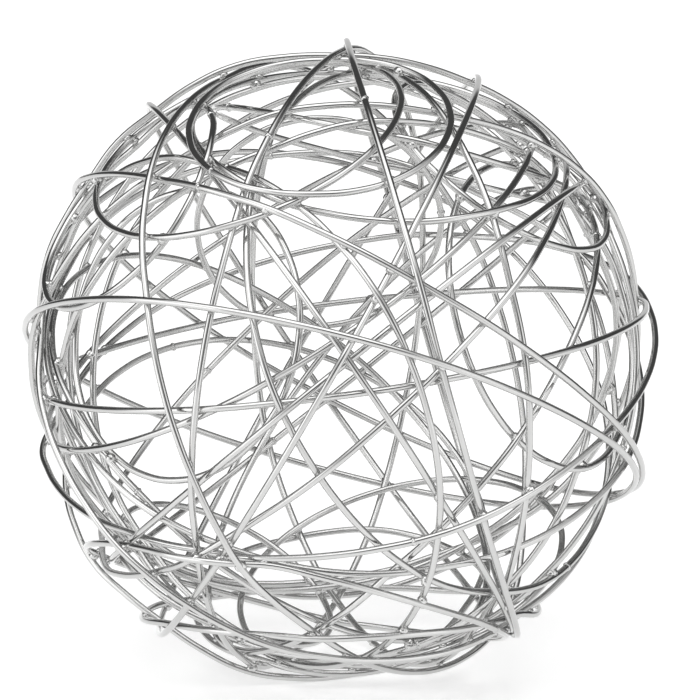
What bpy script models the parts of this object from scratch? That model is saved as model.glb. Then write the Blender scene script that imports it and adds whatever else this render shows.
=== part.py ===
"""A decorative ball of round wire: closed hoops that pass over and under each other in a shell.

Metres, +Z up. The origin is on the table under the middle of the ball, which stands on its lowest wires.
"""

import math
from collections import Counter

import bmesh
import bpy
import numpy as np
from mathutils import Matrix, Vector

BALL_NAME = "wire_ball"
WIRE_DIAMETER = 0.0027
WIRE_CLEARANCE = 0.0002     # free space left between two wires that pass
SHELL_RADIUS = 0.1200       # of the wires' centrelines, on average
SHELL_HALF_DEPTH = 0.0070   # how far a centreline may rise or dip from that radius
GREAT_HOOP_CORNERS = 42     # in a hoop as large as the ball; smaller hoops have fewer
FEWEST_CORNERS = 18
TUBE_BEVEL_RESOLUTION = 1   # a tube of six sides
WIRE_COLOUR = (0.62, 0.62, 0.61, 1.0)
WIRE_ROUGHNESS = 0.22

# The hoops are laid the way such a ball is made: great hoops at every tilt, then smaller hoops to one side of
# the middle, then loops that close the top, the bottom and the sides. Each group is a family, how many hoops it
# has, the range of their axes' lean from upright in degrees, and of their planes' distance from the middle in
# millimetres.
HOOP_GROUPS = (
    ("great_hoop", 16, (15.0, 165.0), (0.0, 20.0)),
    ("side_hoop", 6, (25.0, 155.0), (30.0, 60.0)),
    ("cap_loop", 4, (10.0, 35.0), (88.0, 112.0)),
    ("cap_loop", 6, (145.0, 170.0), (80.0, 112.0)),
    ("cap_loop", 4, (50.0, 80.0), (100.0, 112.0)),
)
# Three hoops go on last, over the rest: family, lean, heading from +X towards +Y, and distance.
LAST_HOOPS = (
    ("great_hoop", 65.0, 175.0, 10.0),
    ("side_hoop", 70.0, 5.0, 35.0),
    ("cap_loop", 20.0, 245.0, 110.0),
)
HOOP_SEED = 12
HEADING_STEP = 137.5        # degrees from one hoop's heading to the next: it spreads any number of them evenly
HEADING_SLIP = 10.0         # degrees either way, since the hoops are set by hand
LEAN_SLIP = 5.0
INNER_HEIGHT = -3.0         # millimetres from the shell's radius, of the hoops that run inside the others
OUTER_HEIGHT = 3.5          # and of those bent round the outside

MILLIMETRE = 0.001
WIRE_SPACING = WIRE_DIAMETER + WIRE_CLEARANCE
MERGED_CROSSING = 0.06      # of the shell's radius: closer together, two crossings of a pair are one touch
WEAVE_SEED = 2
WEAVE_STEPS = 4000
WEAVE_STEP_SIZE = 0.5
FIRST_WAVE = 1.5 * MILLIMETRE   # of the random waves in the wires before they are woven
FIRST_SMOOTHINGS = 8
WEAVE_SMOOTHING = 0.1
FINISH_STEPS = 2500
FINISH_PULL = 0.08          # share of the way back to a smooth curve, taken each finishing step
LEVEL_SHARE = 0.03          # of that pull, towards the hoop's usual radius
STAND_MARGIN = 0.006        # how far inside its three feet the ball's middle has to be


def clear_scene():
    for scene_object in list(bpy.data.objects):
        bpy.data.objects.remove(scene_object, do_unlink=True)


def plane_axis(lean, heading):
    """The unit axis of a hoop's plane, from degrees."""
    lean, heading = math.radians(lean), math.radians(heading)
    return np.array((
        math.sin(lean) * math.cos(heading),
        math.sin(lean) * math.sin(heading),
        math.cos(lean),
    ))


def list_hoops():
    """Every hoop's name, plane axis, offset as a share of the shell's radius, and its own usual height in it."""
    chance = np.random.default_rng(HOOP_SEED)
    laid = []
    heading = 0.0
    for family, count, (least_lean, most_lean), (nearest, farthest) in HOOP_GROUPS:
        for place, distance_place in enumerate(chance.permutation(count)):
            heading += HEADING_STEP + chance.uniform(-HEADING_SLIP, HEADING_SLIP)
            lean = least_lean + (most_lean - least_lean) * (place + 0.5) / count
            lean += chance.uniform(-LEAN_SLIP, LEAN_SLIP)
            distance = nearest + (farthest - nearest) * (distance_place + 0.5) / count
            laid.append((family, lean, heading, distance, chance.uniform(INNER_HEIGHT, OUTER_HEIGHT)))
    laid += [(*hoop, OUTER_HEIGHT) for hoop in LAST_HOOPS]
    numbers = Counter()
    hoops = []
    for family, lean, heading, distance, height in laid:
        numbers[family] += 1
        name = f"{family}_{numbers[family]:02d}"
        offset = distance * MILLIMETRE / SHELL_RADIUS
        hoops.append((name, plane_axis(lean, heading), offset, height * MILLIMETRE))
    return hoops


def hoop_directions(axis, offset, start_angle):
    """Unit directions from the ball's middle to the corners of one hoop."""
    size = math.sqrt(1.0 - offset * offset)
    corners = max(FEWEST_CORNERS, round(GREAT_HOOP_CORNERS * size))
    across = np.cross(axis, (0.0, 1.0, 0.0) if abs(axis[2]) > 0.9 else (0.0, 0.0, 1.0))
    across /= np.linalg.norm(across)
    along = np.cross(axis, across)
    turn = start_angle + np.arange(corners) * 2.0 * math.pi / corners
    circle = np.cos(turn)[:, None] * across + np.sin(turn)[:, None] * along
    return offset * axis + size * circle


class Hoops:
    """All corners of all hoops in flat arrays: each corner's direction, its hoop and the corner after it."""

    def __init__(self, hoops):
        directions, owner, following = [], [], []
        for number, (_, axis, offset, _) in enumerate(hoops):
            corners = hoop_directions(axis, offset, start_angle=0.37 * number)
            first = len(owner)
            directions.append(corners)
            owner += [number] * len(corners)
            following += [first + (index + 1) % len(corners) for index in range(len(corners))]
        self.directions = np.concatenate(directions)
        self.owner = np.array(owner)
        self.following = np.array(following)
        self.axes = np.array([axis for _, axis, _, _ in hoops])
        self.usual_height = np.array([height for _, _, _, height in hoops])[self.owner]
        self.before = np.empty_like(self.following)
        self.before[self.following] = np.arange(len(owner))

    def ends(self, corners, radii):
        """Where the sides that start at these corners begin and end."""
        after = self.following[corners]
        return (
            self.directions[corners] * radii[corners][:, None],
            self.directions[after] * radii[after][:, None],
        )


def nearest_shares(first_start, first_end, second_start, second_end):
    """How far along each of two straight sides their nearest points lie, from 0 to 1."""
    first, second = first_end - first_start, second_end - second_start
    between = first_start - second_start
    first_square, second_square = (first * first).sum(1), (second * second).sum(1)
    cross_product = (first * second).sum(1)
    first_reach, second_reach = (first * between).sum(1), (second * between).sum(1)
    spread = first_square * second_square - cross_product * cross_product
    on_first = (cross_product * second_reach - first_reach * second_square) / np.maximum(spread, 1e-18)
    on_first = np.clip(on_first, 0.0, 1.0)
    on_second = np.clip((cross_product * on_first + second_reach) / second_square, 0.0, 1.0)
    on_first = np.clip((cross_product * on_second - first_reach) / first_square, 0.0, 1.0)
    on_second = np.clip((cross_product * on_first + second_reach) / second_square, 0.0, 1.0)
    return on_first, on_second


def point_along(start, end, share):
    return start * (1.0 - share)[:, None] + end * share[:, None]


class Contacts:
    """Every place where the sides of two different hoops pass within a wire's width of each other."""

    def __init__(self, hoops):
        level = np.full(len(hoops.owner), SHELL_RADIUS)
        starts, ends = hoops.ends(np.arange(len(hoops.owner)), level)
        middles = (starts + ends) / 2.0
        reach = np.linalg.norm(ends - starts, axis=1).max() + WIRE_SPACING
        firsts, seconds = [], []
        for corner, middle in enumerate(middles):
            near = np.linalg.norm(middles - middle, axis=1) < reach
            others = np.flatnonzero(near & (hoops.owner > hoops.owner[corner]))
            firsts.append(np.full(len(others), corner))
            seconds.append(others)
        firsts, seconds = np.concatenate(firsts), np.concatenate(seconds)
        on_first, on_second = nearest_shares(*hoops.ends(firsts, level), *hoops.ends(seconds, level))
        gap = (point_along(*hoops.ends(firsts, level), on_first)
               - point_along(*hoops.ends(seconds, level), on_second))
        sideways = np.linalg.norm(gap, axis=1)
        height = np.sqrt(np.maximum(WIRE_SPACING**2 - sideways**2, 0.0))
        touching = height > 0.1 * MILLIMETRE
        self.first, self.second = firsts[touching], seconds[touching]
        self.on_first, self.on_second = on_first[touching], on_second[touching]
        self.height = height[touching]
        self.crossing = self.number_crossings(hoops)

    def number_crossings(self, hoops):
        """One number for all the contacts of the same crossing: two hoops cross at two places, or touch at one."""
        first_hoop, second_hoop = hoops.owner[self.first], hoops.owner[self.second]
        between_axes = np.cross(hoops.axes[first_hoop], hoops.axes[second_hoop])
        between_axes /= np.linalg.norm(between_axes, axis=1)[:, None]
        position = (hoops.directions[self.first] * between_axes).sum(1)
        pair = first_hoop * len(hoops.axes) + second_hoop
        one_place = np.isin(pair, pair[np.abs(position) < MERGED_CROSSING])
        side = np.where(one_place, 0, np.where(position > 0.0, 1, 2))
        return np.unique(pair * 3 + side, return_inverse=True)[1]

    def upper_side(self, rise, square):
        """For each contact, 1 if its crossing clears most easily with the first hoop on top, otherwise -1."""
        cost = [
            np.bincount(self.crossing, np.maximum(self.height - side * rise, 0.0) ** 2 / square)
            for side in (1.0, -1.0)
        ]
        return np.where(cost[0] <= cost[1], 1.0, -1.0)[self.crossing]


def weave_heights(hoops, contacts):
    """A height above or below the shell's radius for each corner, so that one wire passes over the other.

    Each contact keeps its own copy of the four heights it depends on. In one half of a step every contact moves
    its copies apart until its upper wire clears its lower one. In the other half all the copies of a height are
    averaged and held inside the shell. Mixing the two halves lets the weave settle without getting stuck.
    """
    corner_of_copy = np.stack((
        contacts.first, hoops.following[contacts.first],
        contacts.second, hoops.following[contacts.second],
    ), axis=1)
    weight = np.stack((
        1.0 - contacts.on_first, contacts.on_first,
        contacts.on_second - 1.0, -contacts.on_second,
    ), axis=1)
    weight_square = (weight**2).sum(1)
    trust = np.abs(weight) + 0.05
    corner_count = len(hoops.owner)
    total_trust = np.maximum(np.bincount(corner_of_copy.ravel(), trust.ravel(), corner_count), 1e-9)

    def clear_contacts(copies):
        rise = (weight * copies).sum(1)
        side = contacts.upper_side(rise, weight_square)
        lift = side * np.maximum(contacts.height - side * rise, 0.0)
        return copies + weight * (lift / weight_square)[:, None]

    def agree(copies):
        heights = np.bincount(corner_of_copy.ravel(), (trust * copies).ravel(), corner_count) / total_trust
        neighbours = (heights[hoops.following] + heights[hoops.before]) / 2.0
        heights = heights + WEAVE_SMOOTHING * (neighbours - heights)
        return np.clip(heights, -SHELL_HALF_DEPTH, SHELL_HALF_DEPTH)

    def shortfall(heights):
        rise = (weight * heights[corner_of_copy]).sum(1)
        side = contacts.upper_side(rise, weight_square)
        return np.maximum(contacts.height - side * rise, 0.0).sum()

    random = np.random.default_rng(WEAVE_SEED)
    waves = random.normal(0.0, FIRST_WAVE, corner_count)
    for _ in range(FIRST_SMOOTHINGS):
        waves = 0.5 * waves + 0.25 * (waves[hoops.following] + waves[hoops.before])
    heights = hoops.usual_height + waves
    copies = heights[corner_of_copy]
    best_heights, best_shortfall = heights, shortfall(heights)
    for _ in range(WEAVE_STEPS):
        cleared = clear_contacts(copies)
        agreed = agree(2.0 * cleared - copies)
        copies += WEAVE_STEP_SIZE * (agreed[corner_of_copy] - cleared)
        heights = agree(cleared)
        if shortfall(heights) < best_shortfall:
            best_heights, best_shortfall = heights, shortfall(heights)
    return best_heights


def finish_radii(hoops, contacts, heights):
    """Smooths the woven hoops as far as their contacts allow, measured on their real sides."""
    radii = SHELL_RADIUS + heights
    first_after, second_after = hoops.following[contacts.first], hoops.following[contacts.second]
    over = None
    for step in range(FINISH_STEPS):
        first_ends = hoops.ends(contacts.first, radii)
        second_ends = hoops.ends(contacts.second, radii)
        on_first, on_second = nearest_shares(*first_ends, *second_ends)
        first_point = point_along(*first_ends, on_first)
        second_point = point_along(*second_ends, on_second)
        outward = first_point + second_point
        outward /= np.linalg.norm(outward, axis=1)[:, None]
        gap = first_point - second_point
        rise = (gap * outward).sum(1)
        sideways_square = np.maximum((gap * gap).sum(1) - rise**2, 0.0)
        height = np.sqrt(np.maximum(WIRE_SPACING**2 - sideways_square, 0.0))
        if over is None:
            over = contacts.upper_side(rise, np.ones_like(rise))
        push = 0.5 * over * np.maximum(height - over * rise, 0.0)
        moved, pushes = np.zeros_like(radii), np.zeros_like(radii)
        first_square = (1.0 - on_first) ** 2 + on_first**2
        second_square = (1.0 - on_second) ** 2 + on_second**2
        for corners, share, square, sign in (
            (contacts.first, 1.0 - on_first, first_square, 1.0),
            (first_after, on_first, first_square, 1.0),
            (contacts.second, 1.0 - on_second, second_square, -1.0),
            (second_after, on_second, second_square, -1.0),
        ):
            np.add.at(moved, corners, sign * push * share / square)
            np.add.at(pushes, corners, (push != 0.0) & (share > 0.02))
        radii = radii + 1.3 * moved / np.maximum(pushes, 1)
        pull = FINISH_PULL * max(0.0, 1.0 - 2.0 * step / FINISH_STEPS)
        neighbours = (radii[hoops.following] + radii[hoops.before]) / 2.0
        usual = SHELL_RADIUS + hoops.usual_height
        radii = radii + pull * (neighbours - radii) + LEVEL_SHARE * pull * (usual - radii)
    return radii


def wire_material():
    material = bpy.data.materials.new("bright_plated_wire")
    material.use_nodes = True
    shader = material.node_tree.nodes["Principled BSDF"]
    shader.inputs["Base Color"].default_value = WIRE_COLOUR
    shader.inputs["Metallic"].default_value = 1.0
    shader.inputs["Roughness"].default_value = WIRE_ROUGHNESS
    return material


def add_hoop(name, points, material, collection, parent):
    """One closed hoop of round wire through its corners."""
    curve = bpy.data.curves.new(name, "CURVE")
    curve.dimensions = "3D"
    curve.bevel_depth = WIRE_DIAMETER / 2.0
    curve.bevel_resolution = TUBE_BEVEL_RESOLUTION
    spline = curve.splines.new("POLY")
    spline.points.add(len(points) - 1)
    for spline_point, point in zip(spline.points, points):
        spline_point.co = (*point, 1.0)
    spline.use_cyclic_u = True
    curve.materials.append(material)
    hoop = bpy.data.objects.new(name, curve)
    hoop.parent = parent
    collection.objects.link(hoop)


def resting_faces(points):
    """The faces the ball can stand on, least lean first: lean, margin, distance from the middle and normal."""
    hull = bmesh.new()
    for point in points:
        hull.verts.new(point)
    bmesh.ops.convex_hull(hull, input=hull.verts)
    choices = []
    for face in hull.faces:
        normal = face.normal.normalized()
        if normal.dot(face.verts[0].co) < 0.0:
            normal.negate()
        distance = normal.dot(face.verts[0].co)
        corners = [vert.co for vert in face.verts]
        margin = min(edge_margin(normal * distance, normal, corners, index) for index in range(len(corners)))
        if margin >= STAND_MARGIN:
            choices.append((normal.angle(Vector((0.0, 0.0, -1.0))), margin, distance, normal.copy()))
    hull.free()
    return sorted(choices, key=lambda choice: choice[0])


def edge_margin(foot, normal, corners, index):
    """How far inside one edge of a face the foot of the ball's middle lies."""
    start, end = corners[index], corners[(index + 1) % len(corners)]
    middle = sum(corners, Vector()) / len(corners)
    inward = normal.cross(end - start).normalized()
    if inward.dot(middle - start) < 0.0:
        inward.negate()
    return inward.dot(foot - start)


def build():
    clear_scene()
    collection = bpy.data.collections.new(BALL_NAME)
    bpy.context.scene.collection.children.link(collection)
    middle = bpy.data.objects.new("ball_middle", None)
    collection.objects.link(middle)

    named_hoops = list_hoops()
    hoops = Hoops(named_hoops)
    contacts = Contacts(hoops)
    radii = finish_radii(hoops, contacts, weave_heights(hoops, contacts))
    points = hoops.directions * radii[:, None]

    material = wire_material()
    for number, (name, _, _, _) in enumerate(named_hoops):
        add_hoop(name, points[hoops.owner == number], material, collection, middle)

    _, _, distance, down = resting_faces(points)[0]
    upright = down.rotation_difference(Vector((0.0, 0.0, -1.0))).to_matrix()
    standing = points @ np.array(upright).T
    centre = (standing.min(axis=0) + standing.max(axis=0)) / 2.0
    place = Matrix.Translation((-centre[0], -centre[1], distance + WIRE_DIAMETER / 2.0))
    middle.matrix_world = place @ upright.to_4x4()


build()
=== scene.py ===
"""The looks of a decorative ball of bright plated wire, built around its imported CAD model."""

import math

import bmesh
import bpy
import numpy as np
from mathutils import Matrix, Vector
from mathutils.geometry import interpolate_bezier, intersect_line_line
from mathutils.kdtree import KDTree


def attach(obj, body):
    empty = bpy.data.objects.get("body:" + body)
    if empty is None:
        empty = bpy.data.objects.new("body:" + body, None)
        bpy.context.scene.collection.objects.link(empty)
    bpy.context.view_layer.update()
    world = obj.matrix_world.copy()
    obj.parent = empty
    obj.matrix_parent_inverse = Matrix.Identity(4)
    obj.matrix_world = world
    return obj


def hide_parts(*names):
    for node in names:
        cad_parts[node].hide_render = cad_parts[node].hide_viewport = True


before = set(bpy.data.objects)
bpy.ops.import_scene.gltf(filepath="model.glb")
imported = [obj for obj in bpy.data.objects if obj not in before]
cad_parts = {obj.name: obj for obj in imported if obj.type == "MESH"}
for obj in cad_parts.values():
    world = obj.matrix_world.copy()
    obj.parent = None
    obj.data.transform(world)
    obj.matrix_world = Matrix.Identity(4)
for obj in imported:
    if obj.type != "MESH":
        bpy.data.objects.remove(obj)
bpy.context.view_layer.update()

# Wire hoops. Each is a length of round steel wire, bent into a ring and butt welded to itself, and
# the whole ball is nickel plated and polished once it has been put together. The wires bow a little
# in and out where they pass over and under each other.
WIRE_RADIUS = 0.00135
STEPS_BETWEEN_CORNERS = 6
WIRE_BEVEL_RESOLUTION = 6
RING_EDGE = 2.5 * WIRE_RADIUS   # an edge of the coarse tube shorter than this runs round it, not along it


def hoop_corners(node):
    """The corners of a hoop's centreline, in order, from the rings of its coarse tube."""
    tube = bmesh.new()
    tube.from_mesh(node.data)
    bmesh.ops.remove_doubles(tube, verts=tube.verts, dist=0.00001)
    tube.verts.index_update()
    ring_of, centres = {}, []
    for vert in tube.verts:
        if vert in ring_of:
            continue
        ring, waiting = set(), [vert]
        while waiting:
            corner = waiting.pop()
            if corner not in ring:
                ring.add(corner)
                waiting += [
                    edge.other_vert(corner)
                    for edge in corner.link_edges
                    if edge.calc_length() < RING_EDGE
                ]
        ring = sorted(ring, key=lambda corner: corner.index)
        ring_of.update((corner, len(centres)) for corner in ring)
        centres.append(sum((corner.co for corner in ring), Vector()) / len(ring))
    beside = [set() for _ in centres]
    for edge in tube.edges:
        first, second = (ring_of[vert] for vert in edge.verts)
        if first != second:
            beside[first].add(second)
            beside[second].add(first)
    tube.free()
    order = [0, min(beside[0])]
    while len(order) < len(centres):
        order += beside[order[-1]] - {order[-2]}
    return [centres[index] for index in order]


def wire_curve(name, corners):
    """A smooth closed wire through its corners."""
    curve = bpy.data.curves.new(name, "CURVE")
    curve.dimensions = "3D"
    curve.resolution_u = STEPS_BETWEEN_CORNERS
    curve.bevel_depth = WIRE_RADIUS
    curve.bevel_resolution = WIRE_BEVEL_RESOLUTION
    spline = curve.splines.new("BEZIER")
    spline.bezier_points.add(len(corners) - 1)
    for knot, corner in zip(spline.bezier_points, corners):
        knot.co = corner
        knot.handle_left_type = knot.handle_right_type = "AUTO"
    spline.use_cyclic_u = True
    return bpy.data.objects.new(name, curve)


def path_points(wire, steps):
    """Points along a wire's centreline."""
    knots = wire.data.splines[0].bezier_points
    points = []
    for knot, after in zip(knots, list(knots[1:]) + [knots[0]]):
        points += interpolate_bezier(knot.co, knot.handle_right, after.handle_left, after.co, steps + 1)[:-1]
    return points


hoop_wires, hoop_paths = {}, {}
for node_name in sorted(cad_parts):
    wire = wire_curve(f"{node_name}_wire", hoop_corners(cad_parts[node_name]))
    bpy.context.scene.collection.objects.link(wire)
    hoop_wires[node_name] = wire
bpy.context.view_layer.update()
for node_name, wire in hoop_wires.items():
    hoop_paths[node_name] = path_points(wire, 4 * STEPS_BETWEEN_CORNERS)


# Spot welds. Where two hoops touch, the wires are pressed together and fused, and a little melted
# steel stands in the corners between them. It is plated like the wires, but its colour is painted lighter as
# a painted glint.
TOUCHING = 2.6 * WIRE_RADIUS
WELD_SPACING = 0.014
NUGGET_SHARE = 0.3          # of the touching places, those with a larger lump


def touching_places(paths):
    """Where two hoops touch: the middle between them, the way from one to the other, and both directions."""
    samples = [
        (name, number, point)
        for name, path in paths.items()
        for number, point in enumerate(path)
    ]
    tree = KDTree(len(samples))
    for index, (_, _, point) in enumerate(samples):
        tree.insert(point, index)
    tree.balance()
    found = []
    for name, number, point in samples:
        for other_point, index, _ in tree.find_range(point, 1.3 * TOUCHING):
            other_name, other_number, _ = samples[index]
            if other_name <= name:
                continue
            along = paths[name][(number + 1) % len(paths[name])] - point
            other_along = paths[other_name][(other_number + 1) % len(paths[other_name])] - other_point
            nearest = intersect_line_line(point, point + along, other_point, other_point + other_along)
            if nearest is None:
                continue
            here, there = nearest
            if (here - point).length > along.length or (there - other_point).length > other_along.length:
                continue
            if (here - there).length < TOUCHING:
                found.append(((here - there).length, name, other_name, here, there, along, other_along))
    found.sort(key=lambda place: place[:3])
    kept = []
    for place in found:
        near = any(
            place[1:3] == other[1:3] and (place[3] - other[3]).length < WELD_SPACING for other in kept
        )
        if not near:
            kept.append(place)
    return kept


def add_bead(beads, middle, axes, sizes):
    """One bead of weld metal: a small ball, stretched along three axes."""
    turn = Matrix([axis.normalized() for axis in axes]).transposed().to_4x4()
    bmesh.ops.create_uvsphere(
        beads, u_segments=8, v_segments=6, radius=1.0,
        matrix=Matrix.Translation(middle) @ turn @ Matrix.Diagonal((*sizes, 1.0)),
    )


places = touching_places(hoop_paths)
chance = np.random.default_rng(5)
bead_meshes = {name: bmesh.new() for name in hoop_paths}
weld_points = []
for _, name, other_name, here, there, along, other_along in places:
    middle = (here + there) / 2.0
    outward = (here - there).normalized()
    along, other_along = along.normalized(), other_along.normalized()
    if along.dot(other_along) < 0.0:
        other_along.negate()
    bisector = (along + other_along).normalized()
    across = outward.cross(bisector)
    add_bead(
        bead_meshes[name], middle, (bisector, across, outward),
        (1.35 * WIRE_RADIUS, 1.05 * WIRE_RADIUS, 0.85 * WIRE_RADIUS),
    )
    if chance.random() < NUGGET_SHARE:
        for _ in range(3):
            slip = Vector(chance.uniform(-0.5, 0.5, 3)) * WIRE_RADIUS
            size = chance.uniform(1.0, 1.35) * WIRE_RADIUS
            add_bead(
                bead_meshes[name], middle + slip, (bisector, across, outward),
                (1.35 * size, 1.1 * size, 1.2 * size),
            )
    weld_points.append(middle)


# Butt welds. The two ends of a hoop's wire are pressed together end to end and fused, which leaves a
# low, uneven collar of steel round the wire, ground down roughly before plating.
for name, path in hoop_paths.items():
    number = int(chance.integers(len(path)))
    tangent = (path[(number + 1) % len(path)] - path[number - 1]).normalized()
    side = tangent.orthogonal().normalized()
    for turn in range(3):
        angle = 2.1 * turn + chance.uniform(0.0, 1.0)
        offset = (math.cos(angle) * side + math.sin(angle) * tangent.cross(side)) * 0.30 * WIRE_RADIUS
        slip = tangent * chance.uniform(-0.4, 0.4) * WIRE_RADIUS
        add_bead(
            bead_meshes[name], path[number] + offset + slip, (tangent, side, tangent.cross(side)),
            (0.8 * WIRE_RADIUS, 1.08 * WIRE_RADIUS, 1.08 * WIRE_RADIUS),
        )
    weld_points.append(path[number].copy())


# Plating. Bright nickel over drawn steel wire: mirror-like, a little warm, with the faint grey
# drag marks of polishing, and duller and greyer close to the welds.
class Socket:
    """One shader socket. Arithmetic on sockets adds the Math nodes that work it out."""

    def __init__(self, tree, link=None):
        self.tree = tree
        self.link = link

    def add(self, kind, settings=None, sockets=None, output=0):
        node = self.tree.nodes.new(kind)
        for name, value in (settings or {}).items():
            setattr(node, name, value)
        for name, value in (sockets or {}).items():
            if isinstance(value, Socket):
                self.tree.links.new(value.link, node.inputs[name])
            else:
                node.inputs[name].default_value = value
        return Socket(self.tree, node.outputs[output])

    def calculate(self, operation, *values):
        return self.add("ShaderNodeMath", {"operation": operation}, dict(enumerate(values)))

    def __add__(self, other):
        return self.calculate("ADD", self, other)

    def __radd__(self, other):
        return self.calculate("ADD", other, self)

    def __sub__(self, other):
        return self.calculate("SUBTRACT", self, other)

    def __rsub__(self, other):
        return self.calculate("SUBTRACT", other, self)

    def __mul__(self, other):
        return self.calculate("MULTIPLY", self, other)

    def __rmul__(self, other):
        return self.calculate("MULTIPLY", other, self)

    def between(self, low, high):
        """0 at low, 1 at high, and smooth in between."""
        return self.add(
            "ShaderNodeMapRange", {"interpolation_type": "SMOOTHSTEP"},
            {"Value": self, "From Min": low, "From Max": high},
        )

    def blend(self, first, second):
        """From the first colour to the second as this goes from 0 to 1."""
        return self.add(
            "ShaderNodeMix", {"data_type": "RGBA"}, {0: self, 6: first, 7: second}, output=2
        )


def plating(name, colour, roughness, dull_attribute):
    """Bright nickel plating, duller where the piece's own attribute says that a weld is near."""
    material = bpy.data.materials.new(name)
    material.use_nodes = True
    tree = material.node_tree
    shader = tree.nodes["Principled BSDF"]
    shader.inputs["Metallic"].default_value = 1.0
    start = Socket(tree)
    place = start.add("ShaderNodeTexCoord", output="Object")
    cloud = start.add("ShaderNodeTexNoise", sockets={"Vector": place, "Scale": 38.0, "Detail": 3.0})
    drag = start.add("ShaderNodeTexNoise", sockets={"Vector": place, "Scale": 420.0, "Detail": 1.0})
    weld = start.add("ShaderNodeAttribute", {"attribute_name": dull_attribute}, output="Fac")
    worn = weld * 0.8 + cloud.between(0.45, 0.75) * 0.2
    tint = worn.blend((*colour, 1.0), (*[0.78 * share for share in colour], 1.0))
    tree.links.new(tint.link, shader.inputs["Base Color"])
    gloss = roughness + worn * 0.16 + (drag - 0.5) * 0.03
    tree.links.new(gloss.link, shader.inputs["Roughness"])
    bump = start.add(
        "ShaderNodeBump", sockets={"Strength": 0.25, "Distance": 0.0002, "Height": cloud + weld * drag},
    )
    tree.links.new(bump.link, shader.inputs["Normal"])
    return material


weld_tree = KDTree(len(weld_points))
for index, point in enumerate(weld_points):
    weld_tree.insert(point, index)
weld_tree.balance()


WELD_REACH = 2.2 * WIRE_RADIUS   # how far the duller plating spreads from a weld


def finish_piece(piece, material):
    """Gives a piece its plating, and marks how close each of its corners is to a weld."""
    mesh = piece.data
    nearness = mesh.attributes.new("near_weld", "FLOAT", "POINT")
    values = [
        max(0.0, 1.0 - weld_tree.find(vert.co)[2] / WELD_REACH) for vert in mesh.vertices
    ]
    nearness.data.foreach_set("value", values)
    mesh.materials.clear()
    mesh.materials.append(material)
    mesh.shade_smooth()
    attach(piece, "root")


wire_plating = plating("bright_nickel_wire", (0.60, 0.60, 0.595), 0.09, "near_weld")
# painted glint: the weld beads' plating colour is lighter than the wires' to stand in for their highlights
weld_plating_painted_glint = plating("bright_nickel_weld_painted_glint", (0.66, 0.66, 0.655), 0.14, "near_weld")
for node_name, wire in hoop_wires.items():
    mesh = bpy.data.meshes.new_from_object(wire.evaluated_get(bpy.context.evaluated_depsgraph_get()))
    curve = wire.data
    bpy.data.objects.remove(wire)
    bpy.data.curves.remove(curve)
    hoop = bpy.data.objects.new(f"{node_name}_wire", mesh)
    bpy.context.scene.collection.objects.link(hoop)
    finish_piece(hoop, wire_plating)
    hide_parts(node_name)
    beads = bead_meshes[node_name]
    bead_mesh = bpy.data.meshes.new(f"{node_name}_welds")
    beads.to_mesh(bead_mesh)
    beads.free()
    welds = bpy.data.objects.new(f"{node_name}_welds", bead_mesh)
    bpy.context.scene.collection.objects.link(welds)
    finish_piece(welds, weld_plating_painted_glint)


# Studio. A white table top under a white light tent, with the dark room showing round the tent's
# back edge and through the opening that the camera looks in by.
floor_shape = bmesh.new()
bmesh.ops.create_grid(floor_shape, x_segments=1, y_segments=1, size=6.0)
floor_mesh = bpy.data.meshes.new("table_top")
floor_shape.to_mesh(floor_mesh)
floor_shape.free()
floor = bpy.data.objects.new("table_top", floor_mesh)
bpy.context.scene.collection.objects.link(floor)
table_white = bpy.data.materials.new("table_white")
table_white.use_nodes = True
table_shader = table_white.node_tree.nodes["Principled BSDF"]
table_shader.inputs["Base Color"].default_value = (0.82, 0.82, 0.82, 1.0)
table_shader.inputs["Roughness"].default_value = 0.22
table_shader.inputs["Specular IOR Level"].default_value = 0.5
table_shader.inputs["Emission Color"].default_value = (1.0, 1.0, 1.0, 1.0)
table_shader.inputs["Emission Strength"].default_value = 0.48
floor_mesh.materials.append(table_white)

CAMERA_RISE = math.radians(12.0)
CAMERA_AIM = (0.0, 0.0, 0.1265)
CAMERA_DISTANCE = 1.94
LENS = 250.8

tent = bpy.data.worlds.new("light_tent")
bpy.context.scene.world = tent
tent.use_nodes = True
tent_nodes = Socket(tent.node_tree)
direction = tent_nodes.add("ShaderNodeTexCoord", output="Generated")


def facing(toward, full, none):
    """1 within the first angle of a direction and 0 beyond the second, in degrees."""
    likeness = direction.add(
        "ShaderNodeVectorMath", {"operation": "DOT_PRODUCT"},
        {0: direction, 1: Vector(toward).normalized()}, output="Value",
    )
    return likeness.between(math.cos(math.radians(none)), math.cos(math.radians(full)))


back = (0.0, 1.0, 0.1)
tent_edge = facing(back, 74.0, 92.0) * (1.0 - facing(back, 19.0, 29.0))
camera_opening = facing((0.08, -1.0, 0.30), 12.0, 28.0)
top_light = facing((-0.12, -0.30, 0.95), 26.0, 42.0)
left_light = facing((-1.0, -0.45, 0.25), 14.0, 26.0)
right_light = facing((0.9, -0.7, 0.35), 10.0, 22.0)
lights = top_light * 1.3 + left_light * 1.1 + right_light * 0.7
brightness = 0.70 + lights - tent_edge * 0.62 - camera_opening * 0.55
seen = tent_nodes.add("ShaderNodeLightPath", output="Is Camera Ray")
shown = seen * 1.0 + (1.0 - seen) * brightness
background = tent.node_tree.nodes["Background"]
tent.node_tree.links.new(shown.link, background.inputs["Strength"])
background.inputs["Color"].default_value = (1.0, 1.0, 1.0, 1.0)

camera_data = bpy.data.cameras.new("camera")
camera_data.lens = LENS
camera_data.shift_x = 10.4 / 700.0
camera_data.shift_y = 7.1 / 700.0
camera = bpy.data.objects.new("camera", camera_data)
bpy.context.scene.collection.objects.link(camera)
aim = Matrix.Rotation(math.pi / 2.0 - CAMERA_RISE, 4, "X")
camera.matrix_world = (
    Matrix.Translation(CAMERA_AIM) @ aim @ Matrix.Translation((0.0, 0.0, CAMERA_DISTANCE))
)
bpy.context.scene.camera = camera
bpy.context.scene.view_settings.view_transform = "Standard"
